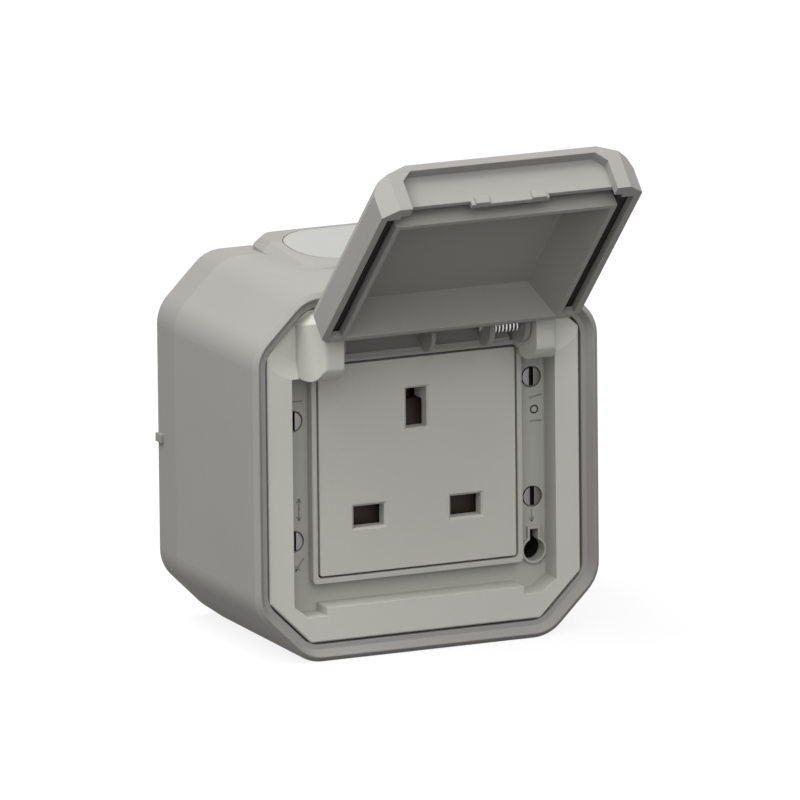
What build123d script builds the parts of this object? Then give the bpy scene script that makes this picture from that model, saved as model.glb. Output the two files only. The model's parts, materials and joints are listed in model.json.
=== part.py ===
from build123d import *
import math
import os

os.makedirs("parts", exist_ok=True)

# Sizes are in millimetres. X runs to the right, Z up, the wall is the plane Y = 0.
# The front faces -Y, and a depth is a distance forward from the wall.

# Fits
slide_gap = 0.3
seat_gap = 0.1
pin_gap = 0.05

# Socket module, whose face sets the sizes of the frame, the lid and the box around it
module_size = 45.0
module_round = 0.5
module_set_back = 3.7
module_gap = 0.5
module_front_wall = 3.0
module_cover_depth = 6.8
module_base_depth = 20.5
module_base_inset = 0.3
slot_pitch = 22.23
slot_width = 7.0
slot_height = 4.6
slot_z = -10.6
slot_lip = 0.5
earth_slot_width = 4.7
earth_slot_height = 8.5
earth_slot_z = 11.6
catch_width = 24.0
catch_reach = 1.7
hook_width = 8.0
hook_thickness = 1.4
hook_barb = 1.2

# Front frame, sunk in the rim of the box
bezel_width = 1.1
bezel_round = 0.9
channel_width = 6.0
channel_depth = 6.2
channel_round = 0.7
frame_border = 5.55
frame_seam = 0.5
frame_edge_bevel = 0.3
frame_floor = 2.4
frame_skirt = 9.6
frame_skirt_wall = 1.5
frame_seal_height = 1.0
recess_gap = 0.6
sill_rise = 1.7
keyhole_z = -22.2
keyhole_diameter = 4.8
keyhole_notch_width = 1.9
keyhole_notch_rise = 4.55
keyhole_collar_width = 0.5
keyhole_collar_rise = 0.8

# Wall box: a square tube with cut corners, closed at the wall
box_depth = 52.1
box_corner_cut = 11.6
box_corner_round = 8.8
least_corner_round = 5.0
box_back_wall = 3.0
back_band_depth = 10.0
back_band_draft = 0.4
rim_rise = 1.8
rim_bevel = 1.0
rim_edge = 0.2
rim_slope_width = 1.2
rim_foot = 1.0
ledge_width = 1.4
fixing_spacing = 60.0
fixing_hole = 4.6
pry_tab_width = 1.8
pry_tab_reach = 0.7
pry_tab_depth = 3.0

# Cable entry on top of the box
entry_width = 38.0
entry_length = 32.0
entry_round = 6.0
entry_back = 0.5
entry_rise = 2.8
entry_front_rise = 0.3
entry_bevel = 1.8
entry_hole = 19.0
membrane_width = 30.0
membrane_length = 23.0
membrane_round = 10.0
membrane_back = 3.2
membrane_thickness = 1.4

# Frame screws and the posts that take them
screw_high_z = 15.0
screw_low_z = 10.8
screw_inset = 2.7
screw_head_diameter = 4.0
screw_head_height = 1.1
screw_shank_diameter = 2.6
screw_length = 12.0
screw_slot_width = 1.0
screw_slot_depth = 0.6
post_width = 6.0
post_web_thickness = 2.0

# Hinge
hinge_forward = 2.5
hinge_drop = 6.65
hinge_pin_diameter = 2.0
hinge_pin_seat = 3.6
ear_width = 4.6
ear_foot_width = 6.6
ear_dish_depth = 1.4
ear_radius = 7.8
ear_forward = 8.9
ear_top_margin = 0.5
ear_round = 1.2
trough_margin = 0.9

# Lid, drawn closed and then turned open about the hinge
lid_ear_gap = 1.9
lid_rim_back = 3.4
lid_skirt_height = 6.0
lid_skirt_wall = 1.5
lid_steep_bevel_in = 1.2
lid_steep_bevel_out = 2.25
lid_slope_in = 6.6
lid_slope_out = 2.5
lid_wall = 1.5
lid_pocket_draft = 3.6
lid_edge_round = 0.9
lid_shoulder_bevel = 1.3
lid_corner_cut_x = 3.3
lid_corner_cut_z = 2.5
lid_groove_width = 2.9
lid_groove_depth = 5.0
lid_rib_wall = 1.1
lid_end_wall_setback = 2.5
lid_end_wall_short = 2.0
lid_end_wall_middle = 17.6
lid_end_wall_middle_reach = 1.0
finger_gap_width = 46.4
finger_gap_corner = 2.2
latch_tab_x = 6.4
latch_tab_width = 3.2
latch_tab_height = 1.7
latch_tab_proud = 0.6
lid_neck_wall_drop = 4.6
lid_neck_rim_back = 0.4
lid_open_angle = 135.0
lug_thickness = 1.2
spring_lug_x = 12.4
bay_rib_x = -0.5
bay_rib_thickness = 0.9
seal_recess = 1.6

# Lid spring, a torsion spring on the right hinge pin
coil_steps = 12
lid_spring_turns = 7
lid_spring_diameter = 3.5
lid_spring_wire = 0.5
lid_spring_leg_gap = 0.3

# Safety shutter
shutter_thickness = 2.0
shutter_cover = 0.7
shutter_travel = 6.3
shutter_set_back = 1.5
shutter_stem_width = 8.4
shutter_window_width = 4.6
shutter_window_bottom = -5.3
shutter_window_top = 6.0
shutter_cam_top = 12.5
shutter_cam_rise = 5.5
shutter_peg_width = 3.4
shutter_peg_height = 2.0
shutter_spring_turns = 4
shutter_spring_diameter = 2.0
shutter_spring_wire = 0.4

# Contacts and terminals
pin_thickness = 4.0
contact_thickness = 0.8
contact_width = 6.0
contact_length = 11.0
contact_pinch = 0.3
terminal_height = 5.6
terminal_width = 7.4
terminal_depth = 7.0
terminal_wire_hole = 3.2
terminal_screw_diameter = 3.0
terminal_screw_length = 4.0
terminal_notch_width = 4.4
base_screw_x = 17.5
base_screw_z = 19.6
base_screw_shank = 2.5
base_screw_head = 4.4
base_screw_head_height = 1.6
base_screw_bite = 3.0

# Places worked out from the sizes above
bezel_half = module_size / 2 + module_gap + bezel_width
recess_half = bezel_half + channel_width
channel_x = recess_half - screw_inset
frame_width = 2 * (recess_half + frame_border)
opening_width = frame_width + 2 * frame_seam
inner_width = opening_width - 2 * ledge_width
box_width = opening_width + 2 * (rim_foot + rim_slope_width + rim_edge + rim_bevel)
box_top = box_width / 2
membrane_middle = membrane_back + membrane_length / 2
face_depth = box_depth - rim_rise
channel_floor = face_depth - channel_depth
screw_seat = channel_floor - screw_head_height
frame_back = channel_floor - frame_floor
skirt_back = face_depth - frame_skirt
ledge_depth = skirt_back - frame_seal_height
module_front = face_depth - module_set_back
module_joint = module_front - module_cover_depth
module_back = module_joint - module_base_depth
shutter_front = module_front - module_front_wall - shutter_set_back
hinge_depth = face_depth + hinge_forward
hinge_z = frame_width / 2 - hinge_drop
lid_half = recess_half - recess_gap
lid_free_edge_z = -lid_half
lid_hinge_edge_z = hinge_z - ear_radius - lid_ear_gap
lid_rim_depth = face_depth - lid_rim_back
lid_shoulder_depth = lid_rim_depth + lid_skirt_height
lid_bevel_depth = lid_shoulder_depth + lid_steep_bevel_out
lid_face_depth = lid_bevel_depth + lid_slope_out
lid_bevel_half = lid_half - lid_steep_bevel_in
lid_face_half = lid_bevel_half - lid_slope_in
groove_outer_x = lid_half - lid_skirt_wall
groove_inner_x = groove_outer_x - lid_groove_width
pocket_half = groove_inner_x - lid_rib_wall
pocket_floor_depth = lid_face_depth - lid_wall
end_wall_z = lid_free_edge_z + lid_end_wall_setback
neck_half = lid_face_half
lid_neck_wall_z = hinge_z - lid_neck_wall_drop
ear_inner_x = neck_half + slide_gap
barrel_radius = lid_face_depth - hinge_depth
screw_places = [
    (channel_x, screw_high_z),
    (channel_x, -screw_low_z),
    (-channel_x, screw_low_z),
    (-channel_x, -screw_high_z),
]
slot_places = [(-slot_pitch / 2, slot_z), (slot_pitch / 2, slot_z)]
pin_places = slot_places + [(0, earth_slot_z)]


def span(low_x, high_x, low_z, high_z):
    """Rectangle between two corners."""
    middle = Pos((low_x + high_x) / 2, (low_z + high_z) / 2)
    return middle * Rectangle(high_x - low_x, high_z - low_z)


def outline(*points):
    """Flat face inside a closed run of straight lines."""
    return make_face(Polyline(*points, close=True))


def both_sides(right):
    """Flat face inside a run of straight lines on the right and its mirror image on the left."""
    return outline(*right, *[(-x, y) for x, y in reversed(right)])


def prism(face, start, end):
    """Solid between two depths, from a face drawn in X and Z."""
    return extrude(Plane.XZ.offset(start) * face, amount=end - start, dir=(0, -1, 0))


def across(face, left, right):
    """Solid between two X places, from a face drawn in depth and Z."""
    plane = Plane(origin=(left, 0, 0), x_dir=(0, -1, 0), z_dir=(-1, 0, 0))
    return extrude(plane * face, amount=right - left, dir=(1, 0, 0))


def upright(face, bottom, top):
    """Solid between two heights, from a face drawn in X and depth."""
    plane = Plane(origin=(0, 0, bottom), x_dir=(1, 0, 0), z_dir=(0, 0, -1))
    return extrude(plane * face, amount=top - bottom, dir=(0, 0, 1))


def round_bar(diameter, x, z, start, end):
    """Cylinder along the depth."""
    return prism(Pos(x, z) * Circle(diameter / 2), start, end)


def mirrored(solid):
    """The solid and its mirror image in the middle plane."""
    return solid + mirror(solid, about=Plane.YZ)


def octagon(width):
    """Square with cut corners, nested evenly inside the box's outline; rounded unless the radius is small."""
    inset = (box_width - width) / 2
    half = width / 2
    flat = half - box_corner_cut + inset * (2 - math.sqrt(2))
    corners = [(half, -flat), (half, flat), (flat, half), (-flat, half)]
    corners += [(-x, -z) for x, z in corners]
    face = outline(*corners)
    radius = box_corner_round - inset
    return fillet(face.vertices(), radius) if radius > least_corner_round else face


def slotted_screw(head_diameter, head_height, shank_diameter, length):
    """Cheese-head screw along +Z, with the head's seat at the origin."""
    head = Pos(0, 0, head_height / 2) * Cylinder(head_diameter / 2, head_height)
    slot_cut = Box(screw_slot_width, head_diameter, 2 * screw_slot_depth)
    shank = Pos(0, 0, -length / 2) * Cylinder(shank_diameter / 2, length)
    return head - Pos(0, 0, head_height) * slot_cut + shank


def opened(solid):
    """The lid's solid turned from closed to fully open about the hinge."""
    hinge = Pos(0, -hinge_depth, hinge_z)
    return hinge * Rot(X=-lid_open_angle) * hinge.inverse() * solid


def make_box():
    """Wall box with its raised cable entry, frame posts and wall fixing holes."""
    band_slope = math.degrees(math.atan(back_band_draft / back_band_depth))
    back = Plane.XZ * octagon(box_width - 2 * back_band_draft)
    body = extrude(back, amount=back_band_depth, taper=-band_slope)
    body += prism(octagon(box_width), back_band_depth, box_depth)
    body = chamfer(body.faces().sort_by(Axis.Y)[0].edges(), rim_bevel)
    body += raised_entry()
    body -= prism(octagon(inner_width), box_back_wall, ledge_depth)
    body -= prism(octagon(opening_width), ledge_depth, face_depth)
    rim_slope = math.degrees(math.atan(rim_slope_width / rim_rise))
    slope_foot = Plane.XZ.offset(face_depth) * octagon(opening_width + 2 * rim_foot)
    body -= extrude(slope_foot, amount=rim_rise, taper=-rim_slope)
    body -= membrane_seat(0)
    body -= upright(Pos(0, membrane_middle) * Circle(entry_hole / 2), 0, box_top + entry_rise)
    for x, z in screw_places:
        post = prism(Pos(x, z) * Rectangle(post_width, post_width), box_back_wall, frame_back)
        wall = math.copysign(inner_width / 2, x)
        web = span(min(x, wall), max(x, wall), z - post_web_thickness / 2, z + post_web_thickness / 2)
        post += prism(web, box_back_wall, ledge_depth)
        pilot = round_bar(screw_shank_diameter + 2 * pin_gap, x, z, screw_seat - screw_length - slide_gap, frame_back)
        body += post - pilot
    for x in (-fixing_spacing / 2, fixing_spacing / 2):
        body -= round_bar(fixing_hole, x, 0, 0, box_back_wall)
    side = box_width / 2 - back_band_draft
    tab = span(side - pry_tab_reach, side + pry_tab_reach, -pry_tab_width / 2, pry_tab_width / 2)
    body += mirrored(prism(tab, 0, pry_tab_depth))
    return body


def entry_plane():
    """Sloped top of the cable entry, with its origin at the middle of the pad's front edge."""
    tilt = math.atan((entry_rise - entry_front_rise) / entry_length)
    front = (0, -(entry_back + entry_length), box_top + entry_front_rise)
    return Plane(origin=front, x_dir=(1, 0, 0), z_dir=(0, -math.sin(tilt), math.cos(tilt)))


def raised_entry():
    """Bevelled pad of the cable entry, proud of the box at the wall and nearly level at its front."""
    face = Pos(0, entry_length / 2) * RectangleRounded(entry_width, entry_length, entry_round)
    pad = extrude(entry_plane() * face, amount=(inner_width - box_width) / 2)
    return chamfer(pad.faces().sort_by(Axis.Z)[-1].edges(), entry_bevel)


def membrane_seat(gap):
    """Space of the membrane's plate in the cable entry, smaller by a gap all round."""
    face = RectangleRounded(membrane_width - 2 * gap, membrane_length - 2 * gap, membrane_round - gap)
    middle = Pos(0, entry_back + entry_length - membrane_middle)
    return extrude(entry_plane() * middle * face, amount=-membrane_thickness)


def make_membrane():
    """Soft membrane over the cable entry."""
    return membrane_seat(seat_gap)


def make_frame_seal():
    """Flat gasket between the frame's skirt and the ledge of the box."""
    ring = octagon(frame_width) - octagon(inner_width + 2 * seat_gap)
    return prism(ring, ledge_depth, skirt_back)


def recess_face():
    """Front recess that takes the closed lid, with deeper lower corners."""
    side = recess_half
    corner_bottom = lid_free_edge_z - recess_gap
    corner_top = corner_bottom + lid_corner_cut_z
    corner_side = side - lid_corner_cut_x
    sill_side = finger_gap_width / 2 - recess_gap
    sill = corner_bottom + sill_rise
    top = hinge_z - ear_radius
    right = [(side, top), (side, corner_top), (corner_side, corner_bottom), (sill_side, corner_bottom)]
    right.append((sill_side, sill))
    return both_sides(right)


def make_ear():
    """Right hinge ear: a barrel about the hinge with a flat front and a drafted outer side."""
    barrel = Pos(hinge_depth, hinge_z) * Circle(ear_radius)
    front = face_depth + ear_forward
    limits = span(channel_floor, front, 0, frame_width)
    crown = ear_inner_x + ear_width
    foot = ear_inner_x + ear_foot_width
    ear = across(barrel & limits, ear_inner_x, foot)
    ear &= upright(outline((ear_inner_x, channel_floor), (foot, channel_floor), (foot, face_depth),
                           (crown, front), (ear_inner_x, front)), 0, frame_width)
    ear &= prism(octagon(frame_width - 2 * ear_top_margin), channel_floor, front)
    crown_edges = ear.faces().sort_by(Axis.Y)[0].edges()
    outer_edges = crown_edges.filter_by(lambda edge: edge.center().X > ear_inner_x + slide_gap)
    return fillet(outer_edges.sort_by(Axis.Z)[:2], ear_round)


def ear_dish():
    """Shallow round hollow in the frame's face at the foot of the right ear."""
    dish = Cone(ear_radius / 2, ear_radius, ear_dish_depth)
    return Pos(ear_inner_x + ear_foot_width, ear_dish_depth / 2 - face_depth, hinge_z) * Rot(X=90) * dish


def make_frame():
    """Front frame with the lid's recess, the module's window, hinge ears and a keyhole."""
    body = prism(octagon(frame_width), skirt_back, face_depth)
    body = chamfer(body.faces().sort_by(Axis.Y)[0].outer_wire().edges(), frame_edge_bevel)
    body -= prism(octagon(frame_width - 2 * frame_skirt_wall), skirt_back, frame_back)
    recess = prism(recess_face(), channel_floor, face_depth)
    floor_edges = recess.faces().sort_by(Axis.Y)[-1].edges().filter_by(Axis.Z)
    body -= fillet(floor_edges, channel_round)
    trough_top = hinge_z + barrel_radius + trough_margin
    trough = span(-ear_inner_x, ear_inner_x, 0, trough_top)
    body -= prism(trough, channel_floor, face_depth)
    body -= mirrored(ear_dish())
    body += mirrored(make_ear())
    bezel = RectangleRounded(2 * bezel_half, 2 * bezel_half, bezel_round)
    body += prism(bezel, frame_back, module_front)
    window = module_size + 2 * module_gap
    body -= prism(RectangleRounded(window, window, module_round + module_gap), frame_back, face_depth)
    body += keyhole_collar()
    body -= keyhole(0, frame_back, face_depth)
    for x, z in screw_places:
        body -= round_bar(screw_shank_diameter + 2 * slide_gap, x, z, frame_back, screw_seat)
        body -= round_bar(screw_head_diameter + 2 * slide_gap, x, z, screw_seat, channel_floor + channel_round)
    pin_bore = Pos(hinge_depth, hinge_z) * Circle(hinge_pin_diameter / 2 + pin_gap)
    body -= mirrored(across(pin_bore, ear_inner_x, ear_inner_x + hinge_pin_seat))
    return body + module_hooks()


def keyhole(grow, start, end):
    """Round hole with a narrower notch above it, grown by a margin."""
    face = Pos(channel_x, keyhole_z) * Circle(keyhole_diameter / 2 + grow)
    half = keyhole_notch_width / 2 + grow
    face += span(channel_x - half, channel_x + half, keyhole_z, keyhole_z + keyhole_notch_rise + grow)
    return prism(face, start, end)


def keyhole_collar():
    """Low raised edge round the keyhole."""
    return keyhole(keyhole_collar_width, channel_floor, channel_floor + keyhole_collar_rise)


def module_hooks():
    """Two snap hooks behind the frame that hold the module's catches."""
    inner = module_size / 2 + catch_reach + slide_gap
    outer = inner + hook_thickness
    barb_front = module_joint - seat_gap
    barb_back = barb_front - hook_barb
    profile = outline((frame_back, inner), (barb_front, inner), (barb_front, inner - hook_barb),
                      (barb_back, inner), (barb_back, outer), (frame_back, outer))
    hook = across(profile, -hook_width / 2, hook_width / 2)
    return hook + mirror(hook, about=Plane.XY)


def make_frame_screws():
    """Four slotted screws, sunk in the frame's channel, into the posts."""
    screw = slotted_screw(screw_head_diameter, screw_head_height, screw_shank_diameter, screw_length)
    turned = Rot(X=90) * screw
    return [Pos(x, -screw_seat, z) * turned for x, z in screw_places]


def lid_pocket_face():
    """Section of the lid's hollow, with drafted sides."""
    return both_sides([(pocket_half, lid_rim_depth), (pocket_half - lid_pocket_draft, pocket_floor_depth)])


def finger_gap_face():
    """Opening in the lid's free end, with cut corners."""
    half = finger_gap_width / 2
    corner = pocket_floor_depth - finger_gap_corner
    return both_sides([(half, lid_rim_depth), (half, corner), (half - finger_gap_corner, pocket_floor_depth)])


def lid_shell():
    """Faceted cover with bevelled sides, cut corners, groove, pocket and finger gap."""
    right = [(lid_half, lid_rim_depth), (lid_half, lid_shoulder_depth)]
    right += [(lid_bevel_half, lid_bevel_depth), (lid_face_half, lid_face_depth)]
    section = both_sides(right)
    raised = section.vertices().filter_by(lambda corner: abs(corner.Y) > lid_rim_depth + lid_edge_round)
    body = upright(fillet(raised, lid_edge_round), lid_free_edge_z, lid_hinge_edge_z)
    corner = outline((lid_half, lid_free_edge_z + lid_corner_cut_z), (lid_half, lid_free_edge_z),
                     (lid_half - lid_corner_cut_x, lid_free_edge_z))
    body -= mirrored(prism(corner, lid_rim_depth, lid_face_depth))
    shoulder = outline((lid_half, lid_hinge_edge_z - lid_shoulder_bevel), (lid_half, lid_hinge_edge_z),
                       (lid_half - lid_shoulder_bevel, lid_hinge_edge_z))
    body -= mirrored(prism(shoulder, lid_rim_depth, lid_face_depth))
    inner_end = end_wall_z + lid_rib_wall
    rib_end = inner_end + lid_groove_width
    groove_top = lid_hinge_edge_z - lid_skirt_wall
    groove_face = span(-groove_outer_x, groove_outer_x, inner_end, groove_top)
    groove_face -= span(-groove_inner_x, groove_inner_x, rib_end, groove_top)
    body -= prism(groove_face, lid_rim_depth, lid_rim_depth + lid_groove_depth)
    body -= upright(lid_pocket_face(), rib_end + lid_rib_wall, lid_hinge_edge_z - lid_rib_wall)
    body -= upright(finger_gap_face(), lid_free_edge_z, end_wall_z)
    low_rim = lid_rim_depth + lid_end_wall_short
    short = span(-groove_inner_x, groove_inner_x, end_wall_z, inner_end)
    body -= prism(short, lid_rim_depth, low_rim)
    middle = span(-lid_end_wall_middle / 2, lid_end_wall_middle / 2, end_wall_z, inner_end)
    body += prism(middle, low_rim - lid_end_wall_middle_reach, low_rim)
    tab_end = low_rim - lid_end_wall_middle_reach
    tab = span(latch_tab_x - latch_tab_width / 2, latch_tab_x + latch_tab_width / 2,
               end_wall_z - latch_tab_proud, end_wall_z)
    return body + mirrored(prism(tab, tab_end, tab_end + latch_tab_height))


def knuckle_side():
    """Side view of a knuckle lug: a plate from the lid's wide part up to a disc about the hinge."""
    rim = face_depth - lid_neck_rim_back
    plate = span(rim, lid_face_depth, lid_hinge_edge_z - lid_rib_wall, lid_neck_wall_z)
    plate += Pos(hinge_depth, hinge_z) * Circle(barrel_radius - lid_wall / 2)
    return plate + span(hinge_depth, lid_face_depth, lid_hinge_edge_z, hinge_z)


def lid_neck():
    """Neck of the lid between the ears: a curved skin, a cross wall, three lugs and a thin rib."""
    axis = Pos(hinge_depth, hinge_z)
    skin_inner = lid_face_depth - lid_wall
    skin = span(skin_inner, lid_face_depth, lid_hinge_edge_z - lid_wall, hinge_z)
    ring = axis * (Circle(barrel_radius) - Circle(barrel_radius - lid_wall))
    curl = ring & span(hinge_depth - lid_wall, lid_face_depth, hinge_z, hinge_z + barrel_radius)
    rim = face_depth - lid_neck_rim_back
    wall = span(rim, lid_face_depth, lid_neck_wall_z - lid_rib_wall, lid_neck_wall_z)
    body = across(skin + wall, -neck_half, neck_half)
    body += across(curl, -neck_half, neck_half - lug_thickness - 2 * lid_spring_wire - slide_gap)
    body += mirrored(across(knuckle_side(), neck_half - lug_thickness, neck_half))
    body += across(knuckle_side(), spring_lug_x, spring_lug_x + lug_thickness)
    bore = axis * Circle(hinge_pin_diameter / 2 + pin_gap)
    body -= across(bore, -neck_half, neck_half)
    return body + across(knuckle_side(), bay_rib_x - bay_rib_thickness / 2, bay_rib_x + bay_rib_thickness / 2)


def make_lid():
    """Closed lid: the faceted cover joined to its neck."""
    return lid_shell() + lid_neck()


def make_lid_seal():
    """Two soft strips in the sides of the closed lid's groove."""
    bottom = end_wall_z + lid_rib_wall + seat_gap
    top = lid_hinge_edge_z - lid_skirt_wall - seat_gap
    face = span(groove_inner_x + seat_gap, groove_outer_x - seat_gap, bottom, top)
    strip = prism(face, lid_rim_depth + seal_recess, lid_rim_depth + lid_groove_depth)
    return [strip, mirror(strip, about=Plane.YZ)]


def make_hinge_pins():
    """Left and right hinge pins, each from an ear into the lid's lug."""
    pin = Pos(hinge_depth, hinge_z) * Circle(hinge_pin_diameter / 2)
    end = ear_inner_x + hinge_pin_seat
    left_tip = -neck_half + lug_thickness + hinge_pin_diameter / 2
    right_tip = spring_lug_x - hinge_pin_diameter / 2
    return [across(pin, -end, left_tip), across(pin, right_tip, end)]


def coil(turns, length, diameter, wire):
    """Helical wire about +Z from the origin, bent from short straight lengths of square wire."""
    steps = round(coil_steps * turns)
    points = []
    for step in range(steps + 1):
        angle = 2 * math.pi * turns * step / steps
        points.append((diameter / 2 * math.cos(angle), diameter / 2 * math.sin(angle), length * step / steps))
    path = Polyline(*points)
    section = Plane(origin=path @ 0, z_dir=path % 0) * RegularPolygon(wire / 2, 4)
    return sweep(section, path=path, transition=Transition.RIGHT)


def make_lid_spring():
    """Torsion spring between two lugs, with one leg on the lid's cross wall and one on the frame."""
    start = spring_lug_x + lug_thickness + lid_spring_wire
    end = neck_half - lug_thickness - lid_spring_wire
    radius = (lid_spring_diameter - lid_spring_wire) / 2
    phase = lid_open_angle - 180
    turns = lid_spring_turns - phase / 360
    wound = Rot(X=phase) * Rot(Y=90) * coil(turns, end - start, 2 * radius, lid_spring_wire)
    lid_leg = hinge_z - lid_neck_wall_z - lid_spring_leg_gap
    frame_leg = hinge_depth - channel_floor - lid_spring_leg_gap
    wire = RegularPolygon(lid_spring_wire / 2, 4)
    on_lid = extrude(Plane.XZ * Pos(0, -radius) * wire, amount=lid_leg, dir=(0, -1, 0))
    on_frame = extrude(Plane.XZ * Pos(end - start, -radius) * wire, amount=frame_leg, dir=(0, 1, 0))
    return Pos(start, -hinge_depth, hinge_z) * (wound + Rot(X=phase) * on_lid + on_frame)


def make_socket_cover():
    """Front of the socket module, with three slots, a shutter chamber and two catches."""
    body = prism(RectangleRounded(module_size, module_size, module_round), module_joint, module_front)
    catch_end = module_size / 2 + catch_reach
    catch = span(-catch_width / 2, catch_width / 2, 0, catch_end)
    body += prism(catch, module_joint, frame_back)
    body += mirror(prism(catch, module_joint, frame_back), about=Plane.XY)
    inner_front = module_front - module_front_wall
    half = slot_pitch / 2 + slot_width / 2 + shutter_cover + slide_gap
    low = slot_z - slot_height / 2 - shutter_cover - shutter_travel - slide_gap
    body -= prism(span(-half, half, low, shutter_cam_top + slide_gap), module_joint, inner_front)
    for x, z in slot_places:
        body -= lipped_slot(x, z, slot_width, slot_height)
    body -= lipped_slot(0, earth_slot_z, earth_slot_width, earth_slot_height)
    for x in (-base_screw_x, base_screw_x):
        body -= round_bar(base_screw_shank + 2 * pin_gap, x, base_screw_z, module_joint,
                          module_joint + base_screw_bite + slide_gap)
    return body


def lipped_slot(x, z, width, height):
    """Rectangular slot through the socket's front, with a sloped lip."""
    hole = prism(Pos(x, z) * Rectangle(width, height), module_joint, module_front)
    mouth = Plane.XZ.offset(module_front) * Pos(x, z) * Rectangle(width + 2 * slot_lip, height + 2 * slot_lip)
    throat = Plane.XZ.offset(module_front - slot_lip) * Pos(x, z) * Rectangle(width, height)
    return hole + loft([throat, mouth], ruled=True)


def make_socket_base():
    """Back of the socket module, with wells for contacts, terminals and screws."""
    side = module_size - 2 * module_base_inset
    body = prism(RectangleRounded(side, side, module_round), module_back, module_joint)
    well = terminal_width + 2 * slide_gap
    for x, z in pin_places:
        body -= prism(Pos(x, z) * Rectangle(well, well), module_back, module_joint)
        side_z = math.copysign(side / 2, z)
        notch = span(x - terminal_notch_width / 2, x + terminal_notch_width / 2, min(z, side_z), max(z, side_z))
        body -= prism(notch, module_back, module_back + terminal_height)
    for x in (-base_screw_x, base_screw_x):
        body -= round_bar(base_screw_shank + 2 * slide_gap, x, base_screw_z, module_back, module_joint)
    peg_bottom = shutter_window_bottom + slide_gap
    peg = span(-shutter_peg_width / 2, shutter_peg_width / 2, peg_bottom, peg_bottom + shutter_peg_height)
    return body + prism(peg, module_joint, shutter_front)


def make_shutter():
    """Shutter plate over the two lower slots, with a stem that the earth pin drives down."""
    half = slot_pitch / 2 + slot_width / 2 + shutter_cover
    low = slot_z - slot_height / 2 - shutter_cover
    high = slot_z + slot_height / 2 + shutter_cover
    face = span(-half, half, low, high)
    face += span(-shutter_stem_width / 2, shutter_stem_width / 2, high, shutter_cam_top)
    face -= span(-shutter_window_width / 2, shutter_window_width / 2, shutter_window_bottom, shutter_window_top)
    back = shutter_front - shutter_thickness
    cam = outline((shutter_front, shutter_cam_top - shutter_cam_rise), (shutter_front, shutter_cam_top),
                  (back, shutter_cam_top))
    return prism(face, back, shutter_front) - across(cam, -shutter_stem_width / 2, shutter_stem_width / 2)


def make_shutter_spring():
    """Compression spring between the base's peg and the top of the shutter's window."""
    bottom = shutter_window_bottom + slide_gap + shutter_peg_height + shutter_spring_wire / 2
    length = shutter_window_top - shutter_spring_wire / 2 - bottom
    middle = shutter_front - shutter_thickness / 2
    return Pos(0, -middle, bottom) * coil(
        shutter_spring_turns, length, shutter_spring_diameter - shutter_spring_wire, shutter_spring_wire
    )


def make_contact(x, z, upright_pin):
    """Folded spring contact: two leaves that pinch the pin, joined at the back."""
    half = pin_thickness / 2
    start = module_back + terminal_height
    front = start + contact_length
    outer = half + contact_thickness
    leaf = [(outer, start), (outer, front - contact_thickness), (outer + contact_pinch, front)]
    inner = [(half + contact_pinch, front), (half - contact_pinch, front - 2 * contact_thickness)]
    inner.append((half - contact_pinch, start + contact_thickness))
    side = leaf + inner
    section = both_sides(side)
    if upright_pin:
        body = upright(section, -contact_width / 2, contact_width / 2)
    else:
        flipped = outline(*[(depth, place) for place, depth in side],
                          *[(depth, -place) for place, depth in reversed(side)])
        body = across(flipped, -contact_width / 2, contact_width / 2)
    return Pos(x, 0, z) * body


def make_terminal(x, z):
    """Brass terminal block with a square wire tunnel from behind and a screw hole from outside."""
    block = prism(Pos(x, z) * Rectangle(terminal_width, terminal_depth), module_back,
                  module_back + terminal_height)
    tunnel = Pos(x, z) * Rectangle(terminal_wire_hole, terminal_wire_hole)
    block -= prism(tunnel, module_back, module_back + terminal_height)
    outward = math.copysign(1, z)
    middle = module_back + terminal_height / 2
    thread = Cylinder(terminal_screw_diameter / 2 + pin_gap, terminal_depth)
    return block - Pos(x, -middle, z + outward * terminal_depth / 2) * thread


def make_terminal_screws():
    """Three slotted grub screws, entered from the outer side of each terminal."""
    grub = Cylinder(terminal_screw_diameter / 2, terminal_screw_length)
    cut = Box(screw_slot_width, terminal_screw_diameter, 2 * screw_slot_depth)
    grub -= Pos(0, 0, terminal_screw_length / 2) * cut
    middle = module_back + terminal_height / 2
    solids = []
    for x, z in pin_places:
        outward = math.copysign(1, z)
        turn = 0 if outward > 0 else 180
        solids.append(Pos(x, -middle, z + outward * terminal_depth / 2) * Rot(X=turn) * grub)
    return solids


def make_base_screws():
    """Two screws that clamp the base of the module to its front."""
    length = module_base_depth + base_screw_bite
    screw = slotted_screw(base_screw_head, base_screw_head_height, base_screw_shank, length)
    return [Pos(x, -module_back, base_screw_z) * Rot(X=-90) * screw for x in (-base_screw_x, base_screw_x)]


def save(name, solids):
    """Write one node, a single solid or a group of separate solids."""
    shape = Compound(children=list(solids)) if isinstance(solids, list) else solids
    export_step(shape, f"parts/{name}.step")


save("box", make_box())
save("entry_membrane", make_membrane())
save("frame_seal", make_frame_seal())
save("frame", make_frame())
save("frame_screws", make_frame_screws())
save("lid", opened(make_lid()))
save("lid_seal", [opened(strip) for strip in make_lid_seal()])
save("hinge_pins", make_hinge_pins())
save("lid_spring", make_lid_spring())
save("socket_cover", make_socket_cover())
save("socket_base", make_socket_base())
save("shutter", make_shutter())
save("shutter_spring", make_shutter_spring())
for contact_name, (pin_x, pin_z) in zip(("neutral", "live", "earth"), pin_places):
    save(f"{contact_name}_contact", make_contact(pin_x, pin_z, contact_name == "earth"))
    save(f"{contact_name}_terminal", make_terminal(pin_x, pin_z))
save("terminal_screws", make_terminal_screws())
save("base_screws", make_base_screws())
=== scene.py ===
import json
import math

import bmesh
import bpy
from bpy.props import FloatProperty, FloatVectorProperty, IntProperty, PointerProperty
from mathutils import Matrix, Vector


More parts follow.
